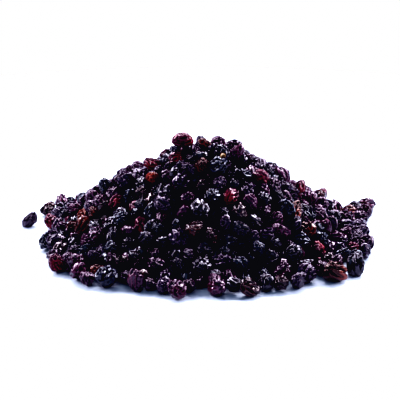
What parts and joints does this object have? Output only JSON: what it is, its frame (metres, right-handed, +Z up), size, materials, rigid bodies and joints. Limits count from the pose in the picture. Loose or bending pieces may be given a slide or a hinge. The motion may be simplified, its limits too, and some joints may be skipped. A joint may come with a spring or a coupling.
{
  "type": "heap of black raisins",
  "caption": "Loose rounded cone of small wrinkled black raisins as poured on a table, with one raisin lying apart beside it.",
  "frame": {"origin": "on the table under the middle of the heap", "axes": "+Z up, +X to the viewer's right along the heap's longest side, the viewer looks along +Y"},
  "size_m": [0.1788, 0.1496, 0.0564],
  "materials": {
    "raisin_skin": "glossy wrinkled black skin with plum and red-brown patches"
  },
  "bodies": {
    "root": {"raisin_heap": "raisin_skin", "stray_raisin": "raisin_skin"}
  },
  "joints": []
}
